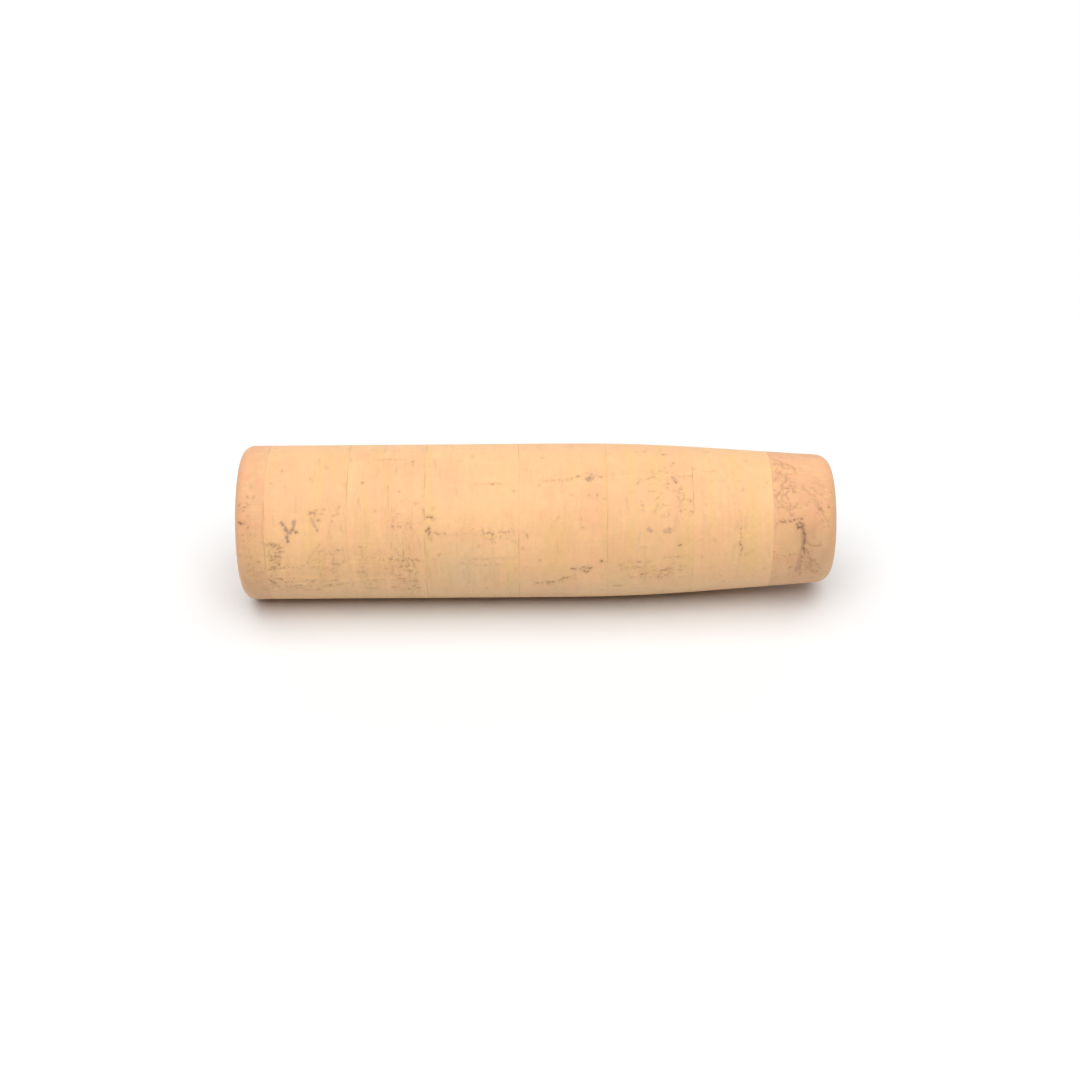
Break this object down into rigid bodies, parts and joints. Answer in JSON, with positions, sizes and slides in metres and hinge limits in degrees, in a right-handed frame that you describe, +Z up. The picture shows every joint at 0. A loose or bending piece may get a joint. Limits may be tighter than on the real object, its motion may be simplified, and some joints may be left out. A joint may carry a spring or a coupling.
{
  "type": "cork dip pen holder",
  "caption": "Thick tapered dip pen holder: a turned barrel of glued natural cork discs on a hardwood core, with a flush ferrule and spring clip for a nib in its nose.",
  "frame": {"origin": "middle of the barrel's length, on the surface it lies on, straight below the barrel's axis", "axes": "+X along the barrel from the butt face to the nose face, +Z up, holder lying on its side"},
  "size_m": [0.095, 0.025, 0.025],
  "materials": {
    "butt_disc": "bare natural cork, sanded smooth, matte",
    "cork_1": "bare natural cork, sanded smooth, matte",
    "cork_2": "bare natural cork, sanded smooth, matte",
    "cork_3": "bare natural cork, sanded smooth, matte",
    "cork_4": "bare natural cork, sanded smooth, matte",
    "cork_5": "bare natural cork, sanded smooth, matte",
    "cork_6": "bare natural cork, sanded smooth, matte",
    "nose_ring": "bare natural cork, sanded smooth, matte",
    "core_wood": "bare beech, sanded end grain",
    "ferrule_plate": "bright nickel-plated steel sheet",
    "clip_steel": "bare spring steel sheet"
  },
  "bodies": {
    "root": {"butt_disc": "butt_disc", "cork_ring_1": "cork_1", "cork_ring_2": "cork_2", "cork_ring_3": "cork_3", "cork_ring_4": "cork_4", "cork_ring_5": "cork_5", "cork_ring_6": "cork_6", "nose_ring": "nose_ring", "core_dowel": "core_wood", "nib_ferrule": "ferrule_plate", "nib_clip": "clip_steel"}
  },
  "joints": []
}
